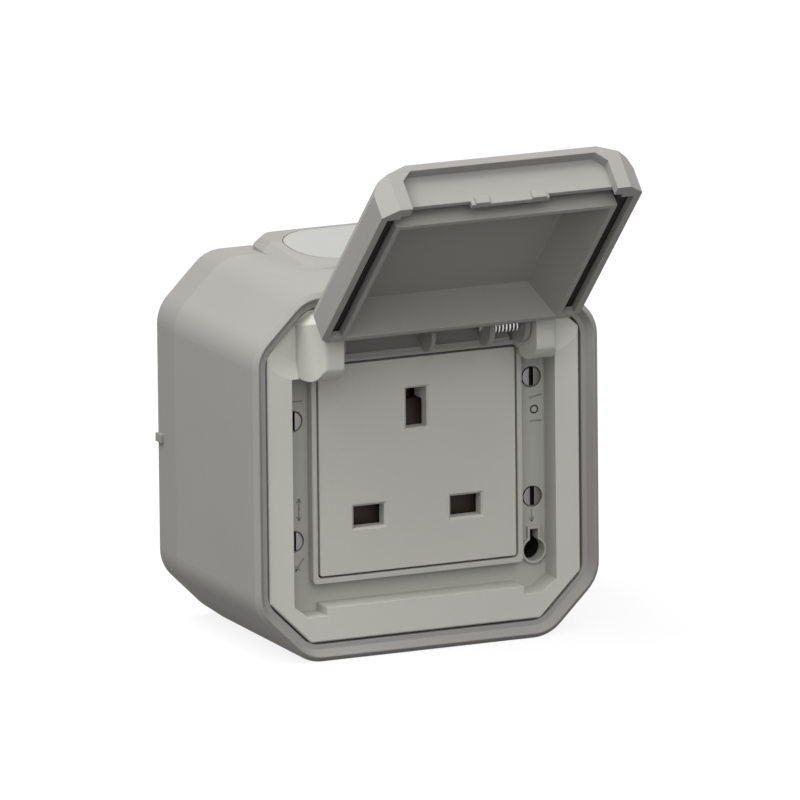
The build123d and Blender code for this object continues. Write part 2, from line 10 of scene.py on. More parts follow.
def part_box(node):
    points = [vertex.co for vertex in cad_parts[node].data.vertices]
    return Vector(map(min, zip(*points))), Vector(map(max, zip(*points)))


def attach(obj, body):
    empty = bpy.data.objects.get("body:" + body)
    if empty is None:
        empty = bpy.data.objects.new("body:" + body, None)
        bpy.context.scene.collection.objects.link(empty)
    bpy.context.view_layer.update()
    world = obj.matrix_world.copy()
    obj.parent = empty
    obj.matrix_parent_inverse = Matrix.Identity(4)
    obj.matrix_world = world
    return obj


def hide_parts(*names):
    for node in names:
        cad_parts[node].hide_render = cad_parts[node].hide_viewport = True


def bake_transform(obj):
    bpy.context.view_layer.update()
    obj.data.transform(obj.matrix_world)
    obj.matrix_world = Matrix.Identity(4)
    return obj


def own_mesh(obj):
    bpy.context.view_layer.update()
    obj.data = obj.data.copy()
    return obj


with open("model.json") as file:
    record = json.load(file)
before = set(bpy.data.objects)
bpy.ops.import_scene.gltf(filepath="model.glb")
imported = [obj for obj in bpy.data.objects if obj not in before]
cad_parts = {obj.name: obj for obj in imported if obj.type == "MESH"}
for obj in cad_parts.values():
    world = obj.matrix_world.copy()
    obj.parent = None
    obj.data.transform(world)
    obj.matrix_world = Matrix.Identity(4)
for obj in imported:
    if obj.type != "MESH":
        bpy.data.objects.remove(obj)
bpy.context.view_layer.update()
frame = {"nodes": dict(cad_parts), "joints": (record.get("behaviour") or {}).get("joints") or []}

bl_info = {
    "name": "Weatherproof Socket",
    "version": (1, 0, 0),
    "blender": (4, 5, 0),
    "location": "3D View > Sidebar > Socket",
    "description": "Finishes, moulded marks, springs and studio stage of a weatherproof wall socket",
    "category": "Object",
}

# All lengths are in metres, apart from those of the camera's lens and sensor

# Mould texture: its slow changes of tone per metre, and the share of the fine grain in its tone
FLOW_PER_METRE = 38.0
FINE_SHARE = 0.35

# Soft edges: rays that look for an edge, and how quickly the edge's mask rises
EDGE_SAMPLES = 6
EDGE_GAIN = 4.0

# Darkest and palest tone of a surface, and the painted highlight on a metal's edges, as shares of its tint
MOULDED_TONES = (0.93, 1.07)
METAL_TONES = (0.82, 1.12)
METAL_EDGE_HIGHLIGHT = 1.25

# Painted shade: tints of the box's back band, the floor of the channels and the raised marks, as shares of
# their plastic's tint
BAND_SHADE = 0.92
CHANNEL_SHADE = 0.72
MARK_SHADE = 0.50

# Half the blur of the box's band of painted shade, and where painted shade turns a screw's slot black behind
# the screw's front
BAND_BLUR = 0.0002
SLOT_START = 0.00015
SLOT_END = 0.00025

# Round wire of the springs: sides of its section and steps in a turn
HINGE_WIRE_SIDES = 10
HINGE_STEPS = 28
SHUTTER_WIRE_SIDES = 8
SHUTTER_STEPS = 20

# Marks on the floor of the channels, to the right of the frame's middle and up from it
BARS = {
    "above_circle": ((0.0271, 0.0105), (0.0297, 0.0111)),
    "below_circle": ((0.0271, 0.0055), (0.0295, 0.0055)),
    "upper_left": ((-0.0272, 0.0150), (-0.0252, 0.0150)),
}
ARROWS = {
    "to_keyhole": ((0.0272, -0.0136), (0.0272, -0.0160)),
    "left_up": ((-0.0262, -0.0080), (-0.0262, -0.0060)),
    "left_down": ((-0.0262, -0.0080), (-0.0262, -0.0104)),
    "to_corner": ((-0.0253, -0.0188), (-0.0270, -0.0212)),
}
CIRCLE_MIDDLE = (0.0280, 0.0080)
CIRCLE_SIDES = 24
HEAD_TURN = math.radians(35)

# Lights: the way to each from the socket, their distance and their width
LAMP_WAYS = {
    "top": (-0.50, 0.0, 0.86),
    "upper": (0.10, -0.45, 0.90),
    "front": (0.0, -0.90, 0.42),
    "left": (-0.50, -0.75, 0.45),
    "back": (0.72, 0.64, 0.22),
}
LAMP_DISTANCE = 1.9
LAMP_WIDTH = 1.4

# Floor: half its width, the spots of its paint per metre, their tones, and its glow
FLOOR_HALF = 6.0
FLOOR_SPOTS_PER_METRE = 60.0
FLOOR_TONES = (0.99, 1.01)
FLOOR_ROUGHNESS = 0.9
FLOOR_GLOW = 0.86

# Camera: width of its sensor in millimetres, and how far it sees
SENSOR_WIDTH = 36.0
SIGHT = 100.0


def colour(label, value, words):
    """Colour property with its default."""
    return FloatVectorProperty(
        name=label, description=words, default=value, subtype="COLOR", size=3, min=0, max=1
    )


def length(label, value, words):
    """Length property in metres."""
    return FloatProperty(name=label, description=words, default=value, unit="LENGTH", precision=5)


def angle(label, degrees, words):
    """Angle property, with its default given in degrees."""
    return FloatProperty(name=label, description=words, default=math.radians(degrees), subtype="ANGLE")


def power(label, value, words):
    """Power property in watts."""
    return FloatProperty(name=label, description=words, default=value, unit="POWER")


class SocketFinishes(bpy.types.PropertyGroup):
    """Colours and grain of the socket's plastics, rubbers and metals."""

    box_grey: colour("Box grey", (0.322, 0.314, 0.295), "Moulded plastic of the wall box and the lid")
    frame_grey: colour("Frame grey", (0.576, 0.574, 0.528), "Paler moulded plastic of the front frame")
    module_grey: colour("Module grey", (0.534, 0.528, 0.484), "Satin plastic of the socket's face")
    membrane_grey: colour("Membrane grey", (0.396, 0.396, 0.380), "Soft membrane of the cable entry")
    rubber_black: colour("Rubber black", (0.012, 0.011, 0.009), "Seals of the lid and the frame")
    inner_dark: colour("Inner dark", (0.016, 0.012, 0.008), "Base behind the slots")
    shutter_brown: colour("Shutter brown", (0.019, 0.013, 0.008), "Shutter behind the slots")
    zinc: colour("Zinc", (0.430, 0.425, 0.410), "Plated screws and hinge pins")
    screw_grey: colour("Screw grey", (0.240, 0.235, 0.222), "Dull plating of the frame's screws")
    # Painted shade, not dirt: the slots of the frame's screws are painted black for the shade deep in them.
    slot_shade_black: colour("Slot black", (0.010, 0.009, 0.008), "Dirt in the slots of the frame's screws")
    spring_steel: colour("Spring steel", (0.620, 0.615, 0.600), "Drawn wire of the springs")
    brass: colour("Brass", (0.640, 0.460, 0.200), "Contacts and terminals")
    grain_size: length("Grain size", 0.00045, "Distance between the grains of the matt mould texture")
    grain_depth: length("Grain depth", 0.000016, "Depth of the matt mould texture")
    edge_radius: length("Edge radius", 0.00025, "Softening of the moulded edges")
    # Painted shade: the dark line stands for the shade in the gap between the membrane and its pad.
    shade_line_radius: length("Outline radius", 0.00055, "Width of the dark line round the membrane")
    # Painted shade: the band stands in for the shading of the slightly tapered back of the box.
    shade_band_depth: length("Band depth", 0.0100, "Depth of the darker band along the box's back")
    # Painted shade: depth over which the recessed channels are painted darker.
    channel_shade_depth: length("Channel depth", 0.0062, "Depth over which the frame's channels darken")


class HingeSpring(bpy.types.PropertyGroup):
    """Torsion spring on the right hinge pin."""

    wire: length("Wire", 0.0005, "Diameter of the spring's wire")
    coil_radius: length("Coil radius", 0.0015, "Radius of the coil at the middle of its wire")
    lid_leg: length("Lid leg", 0.0043, "Length of the leg on the lid's cross wall")
    frame_leg: length("Frame leg", 0.0078, "Length of the leg on the frame's trough")
    turns: IntProperty(name="Turns", description="Full turns of the coil", default=7, min=1)
    start_turn: angle("Start turn", -45, "Turn of the lid's leg about the hinge")


class ShutterSpring(bpy.types.PropertyGroup):
    """Compression spring that lifts the shutter."""

    wire: length("Wire", 0.0004, "Diameter of the spring's wire")
    coil_radius: length("Coil radius", 0.0008, "Radius of the coil at the middle of its wire")
    open_turns: IntProperty(name="Open turns", description="Turns that stand apart", default=4, min=1)
    closed_turns: FloatProperty(
        name="Closed turns", description="Turns that lie together at each end", default=0.75
    )


class MouldedMarks(bpy.types.PropertyGroup):
    """Plain signs beside the frame's screws."""

    line_width: length("Line width", 0.00036, "Width of each raised line at its foot")
    line_height: length("Line height", 0.00012, "Height of each raised line above the channel's floor")
    circle_radius: length("Circle radius", 0.0008, "Radius of the circle between the two bars")
    arrow_head: length("Arrow head", 0.0007, "Length of each side of an arrow's head")


class StudioStage(bpy.types.PropertyGroup):
    """Camera, lights and floor."""

    azimuth: angle("Azimuth", 23.80, "Camera's turn to the left of the front")
    elevation: angle("Elevation", 12.585, "Camera's angle above the level")
    roll: angle("Roll", -0.604, "Camera's turn about its own axis")
    distance: length("Distance", 4.0, "Camera's distance from its target")
    lens: FloatProperty(name="Lens", description="Focal length in millimetres", default=859.1)
    aim_right: length("Aim right", -0.00577, "Target's place to the right of the rim's middle, in the image")
    aim_up: length("Aim up", 0.01404, "Target's place above the rim's middle, in the image")
    top_power: power("Top power", 36.0, "Large light above and to the left")
    upper_power: power("Upper power", 13.0, "Large light above the front")
    front_power: power("Front power", 8.6, "Large light in front")
    left_power: power("Left power", 11.5, "Large light in front and to the left")
    back_power: power("Back power", 14.0, "Large light behind and to the right")
    fill_strength: FloatProperty(name="Fill strength", description="Even light from all round", default=0.12)
    floor_grey: colour("Floor grey", (0.16, 0.16, 0.16), "Floor under the socket, apart from its white glow")


def set_inputs(node, values):
    """Node with its named input values set."""
    for label, value in values.items():
        node.inputs[label.replace("_", " ")].default_value = value
    return node


def add_node(tree, kind, **values):
    """New shader node with its own values."""
    return set_inputs(tree.nodes.new(kind), values)


def math_node(tree, operation, first, second):
    """Result of a math node whose inputs are sockets or plain numbers."""
    node = tree.nodes.new("ShaderNodeMath")
    node.operation = operation
    for place, value in enumerate((first, second)):
        if isinstance(value, bpy.types.NodeSocket):
            tree.links.new(value, node.inputs[place])
        else:
            node.inputs[place].default_value = value
    return node.outputs["Value"]


def vector_node(tree, operation, first, second):
    """Vector math node between two sockets."""
    node = tree.nodes.new("ShaderNodeVectorMath")
    node.operation = operation
    tree.links.new(first, node.inputs[0])
    tree.links.new(second, node.inputs[1])
    return node


def blend_colours(tree, factor, first, second):
    """Mix of two colours, each a socket or a plain colour."""
    mix = tree.nodes.new("ShaderNodeMix")
    mix.data_type = "RGBA"
    tree.links.new(factor, mix.inputs["Factor"])
    for label, value in (("A", first), ("B", second)):
        socket = next(s for s in mix.inputs if s.name == label and s.type == "RGBA")
        if isinstance(value, bpy.types.NodeSocket):
            tree.links.new(value, socket)
        else:
            socket.default_value = (*value, 1.0)
    return next(s for s in mix.outputs if s.type == "RGBA")


def spread(tree, value, low, high):
    """Value from 0 to 1 spread between two limits."""
    ranged = add_node(tree, "ShaderNodeMapRange", To_Min=low, To_Max=high)
    tree.links.new(value, ranged.inputs["Value"])
    return ranged.outputs["Result"]


def shade(tint, factor):
    """Tint made darker or paler by a factor."""
    return tuple(min(channel * factor, 1.0) for channel in tint)


def new_group(label, inputs, outputs):
    """Empty shader node group with named sockets."""
    group = bpy.data.node_groups.new(label, "ShaderNodeTree")
    for name, default in inputs.items():
        socket = group.interface.new_socket(name=name, in_out="INPUT", socket_type="NodeSocketFloat")
        socket.default_value = default
    for name, kind in outputs.items():
        group.interface.new_socket(name=name, in_out="OUTPUT", socket_type=kind)
    return group, group.nodes.new("NodeGroupInput"), group.nodes.new("NodeGroupOutput")


def make_mould_grain(label):
    """Fine spark-eroded mould texture, with slow changes of tone from the flow of the plastic."""
    group, given, result = new_group(
        label,
        {"Grains per metre": 2200.0, "Stretch": 1.0},
        {"Height": "NodeSocketFloat", "Tone": "NodeSocketFloat"},
    )
    place = group.nodes.new("ShaderNodeTexCoord")
    stretched = add_node(group, "ShaderNodeCombineXYZ", Y=1.0, Z=1.0)
    group.links.new(given.outputs["Stretch"], stretched.inputs["X"])
    scaled = vector_node(group, "MULTIPLY", place.outputs["Object"], stretched.outputs["Vector"])
    grain = add_node(group, "ShaderNodeTexNoise", Detail=3.0, Roughness=0.6)
    group.links.new(scaled.outputs["Vector"], grain.inputs["Vector"])
    group.links.new(given.outputs["Grains per metre"], grain.inputs["Scale"])
    flow = add_node(group, "ShaderNodeTexNoise", Scale=FLOW_PER_METRE, Detail=4.0, Roughness=0.55)
    group.links.new(scaled.outputs["Vector"], flow.inputs["Vector"])
    fine = math_node(group, "MULTIPLY", grain.outputs["Fac"], FINE_SHARE)
    slow = math_node(group, "MULTIPLY", flow.outputs["Fac"], 1.0 - FINE_SHARE)
    group.links.new(grain.outputs["Fac"], result.inputs["Height"])
    group.links.new(math_node(group, "ADD", fine, slow), result.inputs["Tone"])
    return group


def make_behind(label):
    """Mask that rises from 0 to 1 between two places along the depth."""
    group, given, result = new_group(label, {"Front": 0.0, "Back": 1.0}, {"Mask": "NodeSocketFloat"})
    place = group.nodes.new("ShaderNodeTexCoord")
    axes = group.nodes.new("ShaderNodeSeparateXYZ")
    group.links.new(place.outputs["Object"], axes.inputs["Vector"])
    ranged = group.nodes.new("ShaderNodeMapRange")
    group.links.new(axes.outputs["Y"], ranged.inputs["Value"])
    group.links.new(given.outputs["Front"], ranged.inputs["From Min"])
    group.links.new(given.outputs["Back"], ranged.inputs["From Max"])
    group.links.new(ranged.outputs["Result"], result.inputs["Mask"])
    return group


def make_soft_edge(label):
    """Softened normal along sharp edges, and a mask of those edges."""
    group, given, result = new_group(
        label, {"Radius": 0.0003}, {"Normal": "NodeSocketVector", "Edge": "NodeSocketFloat"}
    )
    bevel = group.nodes.new("ShaderNodeBevel")
    bevel.samples = EDGE_SAMPLES
    group.links.new(given.outputs["Radius"], bevel.inputs["Radius"])
    surface = group.nodes.new("ShaderNodeNewGeometry")
    turned = vector_node(group, "DOT_PRODUCT", bevel.outputs["Normal"], surface.outputs["Normal"])
    away = math_node(group, "SUBTRACT", 1.0, turned.outputs["Value"])
    raised = math_node(group, "MULTIPLY", away, EDGE_GAIN)
    group.links.new(bevel.outputs["Normal"], result.inputs["Normal"])
    group.links.new(math_node(group, "MINIMUM", raised, 1.0), result.inputs["Edge"])
    return group


GROUP_MAKERS = {"mould_grain": make_mould_grain, "behind": make_behind, "soft_edge": make_soft_edge}


def place_group(tree, label, **values):
    """Shared node group, made at its first use, in a material and with its own values."""
    node = tree.nodes.new("ShaderNodeGroup")
    node.node_tree = bpy.data.node_groups.get(label) or GROUP_MAKERS[label](label)
    return set_inputs(node, values)


def start_material(label):
    """New node material with its tree and Principled shader."""
    material = bpy.data.materials.new(label)
    material.use_nodes = True
    return material, material.node_tree, material.node_tree.nodes["Principled BSDF"]


def grained_material(label, tint, tones, painted_edge_tone, edge_radius, depth, stretch=1.0):
    """Grained material with uneven tone and a tone painted along its edges, its shader and its grain."""
    finishes = bpy.context.scene.socket_finishes
    material, tree, shader = start_material(label)
    grain = place_group(tree, "mould_grain", Grains_per_metre=1.0 / finishes.grain_size, Stretch=stretch)
    edge = place_group(tree, "soft_edge", Radius=edge_radius)
    darkest, palest = (shade(tint, tone) for tone in tones)
    body = blend_colours(tree, grain.outputs["Tone"], darkest, palest)
    # Painted highlight along the edges where the edge tone is above 1, painted shade where it is below 1.
    toned = blend_colours(tree, edge.outputs["Edge"], body, shade(tint, painted_edge_tone))
    tree.links.new(toned, shader.inputs["Base Color"])
    bump = add_node(tree, "ShaderNodeBump", Distance=depth, Strength=1.0)
    tree.links.new(grain.outputs["Height"], bump.inputs["Height"])
    tree.links.new(edge.outputs["Normal"], bump.inputs["Normal"])
    tree.links.new(bump.outputs["Normal"], shader.inputs["Normal"])
    return material, shader, grain


def moulded_material(label, tint, roughness, specular, painted_edge_tone, edge_radius=None):
    """Matt moulded plastic or rubber, rougher on its grains."""
    finishes = bpy.context.scene.socket_finishes
    radius = edge_radius or finishes.edge_radius
    material, shader, grain = grained_material(
        label, tint, MOULDED_TONES, painted_edge_tone, radius, finishes.grain_depth
    )
    tree = material.node_tree
    tree.links.new(spread(tree, grain.outputs["Height"], *roughness), shader.inputs["Roughness"])
    shader.inputs["Specular IOR Level"].default_value = specular
    return material


def metal_material(label, tint, roughness, stretch=1.0):
    """Plated or drawn metal, with fine marks along one direction, dull spots, and sharper edges with a
    painted highlight along them.
    """
    finishes = bpy.context.scene.socket_finishes
    edge_radius = finishes.edge_radius / 2
    mark_depth = finishes.grain_depth / 3
    material, shader, grain = grained_material(
        label, tint, METAL_TONES, METAL_EDGE_HIGHLIGHT, edge_radius, mark_depth, stretch
    )
    tree = material.node_tree
    tree.links.new(spread(tree, grain.outputs["Tone"], *roughness), shader.inputs["Roughness"])
    shader.inputs["Metallic"].default_value = 1.0
    return material


def tint_behind(material, tint, front, back):
    """Material whose colour goes over to a second tint between two places along the depth."""
    tree = material.node_tree
    target = tree.nodes["Principled BSDF"].inputs["Base Color"]
    behind = place_group(tree, "behind", Front=front, Back=back)
    first = target.links[0].from_socket
    tree.links.new(blend_colours(tree, behind.outputs["Mask"], first, tint), target)
    return material


def paint(material, *names):
    """Material on the named CAD nodes."""
    for name in names:
        node = frame["nodes"][name]
        node.data.materials.clear()
        node.data.materials.append(material)


def mesh_object(label, mesh_data):
    """New object from a finished bmesh."""
    mesh = bpy.data.meshes.new(label)
    mesh_data.to_mesh(mesh)
    mesh_data.free()
    item = bpy.data.objects.new(label, mesh)
    bpy.context.scene.collection.objects.link(item)
    return item


def wire_tube(points, diameter, sides):
    """Round wire along a run of points, as a bmesh."""
    wire = bmesh.new()
    rings = []
    for place, point in enumerate(points):
        before = points[max(place - 1, 0)]
        after = points[min(place + 1, len(points) - 1)]
        turn = (after - before).to_track_quat("Z", "X")
        ring = []
        for side in range(sides):
            around = 2 * math.pi * side / sides
            spoke = Vector((math.cos(around), math.sin(around), 0)) * diameter / 2
            ring.append(wire.verts.new(point + turn @ spoke))
        rings.append(ring)
    for ring, following in zip(rings, rings[1:]):
        offset = min(range(sides), key=lambda k: (following[k].co - ring[0].co).length)
        for side in range(sides):
            beyond = (side + 1) % sides
            wire.faces.new((ring[side], ring[beyond], following[(beyond + offset) % sides],
                            following[(side + offset) % sides]))
    wire.faces.new(reversed(rings[0]))
    wire.faces.new(rings[-1])
    bmesh.ops.recalc_face_normals(wire, faces=wire.faces)
    for face in wire.faces:
        face.smooth = True
    return wire


def spring_object(label, points, wire, sides):
    """Spring of drawn wire along a run of points."""
    item = mesh_object(label, wire_tube(points, wire, sides))
    item.data.materials.append(bpy.data.materials["drawn_wire"])
    return item


def joint_named(name):
    """Joint of the frame by its name."""
    return next(joint for joint in frame["joints"] if joint["name"] == name)


def raised_line(lines, floor, marks, start, end):
    """Straight line with sloped sides, its foot just under the channel's floor."""
    start, end = Vector(start), Vector(end)
    along = (end - start).normalized()
    across = Vector((-along.y, along.x))
    foot_size = (marks.line_width / 2, -marks.line_height / 4)
    top_size = (marks.line_width / 3, marks.line_height)
    layers = []
    for half, height in (foot_size, top_size):
        corners = (
            start - along * half + across * half,
            end + along * half + across * half,
            end + along * half - across * half,
            start - along * half - across * half,
        )
        layers.append([lines.verts.new((corner.x, floor - height, corner.y)) for corner in corners])
    foot, top = layers
    lines.faces.new(top)
    lines.faces.new(reversed(foot))
    for corner in range(4):
        beyond = (corner + 1) % 4
        lines.faces.new((foot[corner], foot[beyond], top[beyond], top[corner]))


def raised_arrow(lines, floor, marks, start, end):
    """Line with two short sides at its end."""
    raised_line(lines, floor, marks, start, end)
    back = (Vector(start) - Vector(end)).normalized() * marks.arrow_head
    for turn in (-HEAD_TURN, HEAD_TURN):
        side = back.copy()
        side.rotate(Matrix.Rotation(turn, 2))
        raised_line(lines, floor, marks, end, Vector(end) + side)


def raised_circle(lines, floor, marks):
    """Circle of short lines."""
    across, up = CIRCLE_MIDDLE
    points = []
    for corner in range(CIRCLE_SIDES + 1):
        around = 2 * math.pi * corner / CIRCLE_SIDES
        points.append((across + marks.circle_radius * math.cos(around),
                       up + marks.circle_radius * math.sin(around)))
    for start, end in zip(points, points[1:]):
        raised_line(lines, floor, marks, start, end)


def seen_directly(tree):
    """1 for rays that show the background: from the camera, in gloss or through glass."""
    path = tree.nodes.new("ShaderNodeLightPath")
    gloss = math_node(tree, "MAXIMUM", path.outputs["Is Camera Ray"], path.outputs["Is Glossy Ray"])
    return math_node(tree, "MAXIMUM", gloss, path.outputs["Is Transmission Ray"])


def floor_material(tint):
    """Pale paint that looks white to the camera, but for the shadow on it."""
    material, tree, shader = start_material("floor_paint")
    grain = place_group(tree, "mould_grain", Grains_per_metre=FLOOR_SPOTS_PER_METRE)
    darkest, palest = (shade(tint, tone) for tone in FLOOR_TONES)
    tree.links.new(blend_colours(tree, grain.outputs["Tone"], darkest, palest), shader.inputs["Base Color"])
    shader.inputs["Roughness"].default_value = FLOOR_ROUGHNESS
    shader.inputs["Specular IOR Level"].default_value = 0.0
    glow = add_node(tree, "ShaderNodeEmission", Strength=FLOOR_GLOW)
    shown = tree.nodes.new("ShaderNodeAddShader")
    tree.links.new(shader.outputs["BSDF"], shown.inputs[0])
    tree.links.new(glow.outputs["Emission"], shown.inputs[1])
    mix = tree.nodes.new("ShaderNodeMixShader")
    tree.links.new(seen_directly(tree), mix.inputs["Fac"])
    tree.links.new(shader.outputs["BSDF"], mix.inputs[1])
    tree.links.new(shown.outputs["Shader"], mix.inputs[2])
    tree.links.new(mix.outputs["Shader"], tree.nodes["Material Output"].inputs["Surface"])
    return material


def make_floor(stage):
    """Level floor under the box."""
    data = bmesh.new()
    bmesh.ops.create_grid(data, x_segments=8, y_segments=8, size=FLOOR_HALF)
    floor = mesh_object("floor", data)
    floor.location = (0, 0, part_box("box")[0].z)
    floor.data.materials.append(floor_material(stage.floor_grey))


def make_world(scene, stage):
    """White surroundings that light the socket evenly and weakly."""
    world = bpy.data.worlds.new("studio")
    world.use_nodes = True
    tree = world.node_tree
    background = tree.nodes["Background"]
    background.inputs["Color"].default_value = (1.0, 1.0, 1.0, 1.0)
    strength = spread(tree, seen_directly(tree), stage.fill_strength, 1.0)
    tree.links.new(strength, background.inputs["Strength"])
    scene.world = world


def make_lamp(scene, label, watts, way):
    """Large soft light that stands in one direction from the socket."""
    lamp = bpy.data.lights.new(label, "AREA")
    lamp.energy = watts
    lamp.shape = "SQUARE"
    lamp.size = LAMP_WIDTH
    stand = bpy.data.objects.new(label, lamp)
    stand.location = Vector(way).normalized() * LAMP_DISTANCE
    stand.rotation_euler = (-stand.location).to_track_quat("-Z", "Y").to_euler()
    scene.collection.objects.link(stand)


def make_camera(scene, stage):
    """Camera at the photograph's angle."""
    turn, rise = stage.azimuth, stage.elevation
    back = Vector((-math.sin(turn) * math.cos(rise), -math.cos(turn) * math.cos(rise), math.sin(rise)))
    right = Vector((math.cos(turn), -math.sin(turn), 0))
    up = back.cross(right)
    rim_middle = Vector((0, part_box("box")[0].y, 0))
    target = rim_middle + right * stage.aim_right + up * stage.aim_up
    rolled_right = right * math.cos(stage.roll) + up * math.sin(stage.roll)
    rolled_up = back.cross(rolled_right)
    lens = bpy.data.cameras.new("camera")
    lens.lens = stage.lens
    lens.sensor_width = SENSOR_WIDTH
    lens.clip_end = SIGHT
    camera = bpy.data.objects.new("camera", lens)
    axes = Matrix((rolled_right, rolled_up, back)).transposed().to_4x4()
    camera.matrix_world = Matrix.Translation(target + back * stage.distance) @ axes
    scene.collection.objects.link(camera)
    scene.camera = camera


class SOCKET_OT_box(bpy.types.Operator):
    """Finish of the wall box, with a band of painted shade along its back"""

    bl_idname = "weather_socket.box"
    bl_label = "Wall Box"

    def execute(self, context):
        finishes = context.scene.socket_finishes
        plastic = moulded_material(
            "box_plastic", finishes.box_grey, roughness=(0.56, 0.72), specular=0.12, painted_edge_tone=1.10
        )
        # The band is the box's own grey made darker: painted shade for the tapered band at the back.
        band = -finishes.shade_band_depth
        band_shade_grey = shade(finishes.box_grey, BAND_SHADE)
        paint(tint_behind(plastic, band_shade_grey, band - BAND_BLUR, band + BAND_BLUR), "box")
        return {"FINISHED"}


class SOCKET_OT_lid(bpy.types.Operator):
    """Finish of the hinged lid"""

    bl_idname = "weather_socket.lid"
    bl_label = "Lid"

    def execute(self, context):
        finishes = context.scene.socket_finishes
        plastic = moulded_material(
            "lid_plastic", finishes.box_grey, roughness=(0.52, 0.68), specular=0.12, painted_edge_tone=1.12
        )
        paint(plastic, "lid")
        return {"FINISHED"}


class SOCKET_OT_frame(bpy.types.Operator):
    """Finish of the front frame, with painted shade that darkens it towards the floor of its channels"""

    bl_idname = "weather_socket.frame"
    bl_label = "Front Frame"

    def execute(self, context):
        finishes = context.scene.socket_finishes
        plastic = moulded_material(
            "frame_plastic", finishes.frame_grey, roughness=(0.52, 0.66), specular=0.14, painted_edge_tone=1.10
        )
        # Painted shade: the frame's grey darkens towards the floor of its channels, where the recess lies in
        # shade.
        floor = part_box("frame_screws")[0].y
        channel_shade_grey = shade(finishes.frame_grey, CHANNEL_SHADE)
        paint(tint_behind(plastic, channel_shade_grey, floor - finishes.channel_shade_depth, floor), "frame")
        return {"FINISHED"}


class SOCKET_OT_module(bpy.types.Operator):
    """Finish of the socket's face, base and shutter"""

    bl_idname = "weather_socket.module"
    bl_label = "Socket Module"

    def execute(self, context):
        finishes = context.scene.socket_finishes
        face = moulded_material(
            "module_plastic", finishes.module_grey, roughness=(0.44, 0.58), specular=0.18, painted_edge_tone=1.15
        )
        inner = moulded_material(
            "inner_plastic", finishes.inner_dark, roughness=(0.55, 0.70), specular=0.20, painted_edge_tone=1.40
        )
        shutter = moulded_material(
            "shutter_plastic", finishes.shutter_brown, roughness=(0.45, 0.60), specular=0.25, painted_edge_tone=1.30
        )
        paint(face, "socket_cover")
        paint(inner, "socket_base")
        paint(shutter, "shutter")
        return {"FINISHED"}


class SOCKET_OT_rubbers(bpy.types.Operator):
    """Finish of the entry membrane, with a dark line of painted shade round it, and of the seals"""

    bl_idname = "weather_socket.rubbers"
    bl_label = "Membrane and Seals"

    def execute(self, context):
        finishes = context.scene.socket_finishes
        # The membrane's low edge tone paints a dark line of shade round its edge.
        membrane = moulded_material(
            "membrane_rubber", finishes.membrane_grey, roughness=(0.60, 0.76), specular=0.12, painted_edge_tone=0.22,
            edge_radius=finishes.shade_line_radius,
        )
        seal = moulded_material(
            "seal_rubber", finishes.rubber_black, roughness=(0.60, 0.80), specular=0.15, painted_edge_tone=1.50
        )
        paint(membrane, "entry_membrane")
        paint(seal, "lid_seal", "frame_seal")
        return {"FINISHED"}


class SOCKET_OT_metals(bpy.types.Operator):
    """Finish of the screws, pins, springs, contacts and terminals"""

    bl_idname = "weather_socket.metals"
    bl_label = "Screws and Contacts"

    def execute(self, context):
        finishes = context.scene.socket_finishes
        bright = metal_material("zinc_plate", finishes.zinc, roughness=(0.28, 0.46))
        paint(bright, "hinge_pins", "terminal_screws", "base_screws")
        dull = metal_material("screw_zinc", finishes.screw_grey, roughness=(0.30, 0.48))
        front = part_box("frame_screws")[0].y
        # Painted shade: each screw's slot turns black behind the head's front.
        paint(tint_behind(dull, finishes.slot_shade_black, front + SLOT_START, front + SLOT_END), "frame_screws")
        wire = metal_material("drawn_wire", finishes.spring_steel, roughness=(0.22, 0.36), stretch=6.0)
        paint(wire, "lid_spring", "shutter_spring")
        brass = metal_material("brass", finishes.brass, roughness=(0.24, 0.40), stretch=4.0)
        for side in ("live", "neutral", "earth"):
            paint(brass, f"{side}_contact", f"{side}_terminal")
        return {"FINISHED"}


class SOCKET_OT_hinge_spring(bpy.types.Operator):
    """Round wire of the hinge spring, with a leg on the lid and a leg on the frame"""

    bl_idname = "weather_socket.hinge_spring"
    bl_label = "Hinge Spring"

    def execute(self, context):
        spring = context.scene.hinge_spring
        low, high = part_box("lid_spring")
        start = low.x + spring.wire / 2
        end = high.x - spring.wire / 2
        hinge = Vector(joint_named("lid_hinge")["pos_m"])
        down = Vector((0, 0, -spring.coil_radius))
        first_turn = Matrix.Rotation(spring.start_turn, 3, "X")
        lid_way = first_turn @ Vector((0, -1, 0))
        lid_root = Vector((start, hinge.y, hinge.z)) + first_turn @ down
        points = [lid_root + lid_way * spring.lid_leg, lid_root + lid_way * spring.coil_radius / 2]
        reach = spring.turns * 2 * math.pi - spring.start_turn
        steps = spring.turns * HINGE_STEPS
        for step in range(steps + 1):
            share = step / steps
            turn = Matrix.Rotation(spring.start_turn + reach * share, 3, "X")
            points.append(Vector((start + (end - start) * share, hinge.y, hinge.z)) + turn @ down)
        frame_root = points[-1]
        frame_way = Vector((0, 1, 0))
        points.append(frame_root + frame_way * spring.coil_radius / 2)
        points.append(frame_root + frame_way * spring.frame_leg)
        coil = spring_object("hinge_spring", points, spring.wire, HINGE_WIRE_SIDES)
        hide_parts("lid_spring")
        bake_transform(coil)
        return {"FINISHED"}


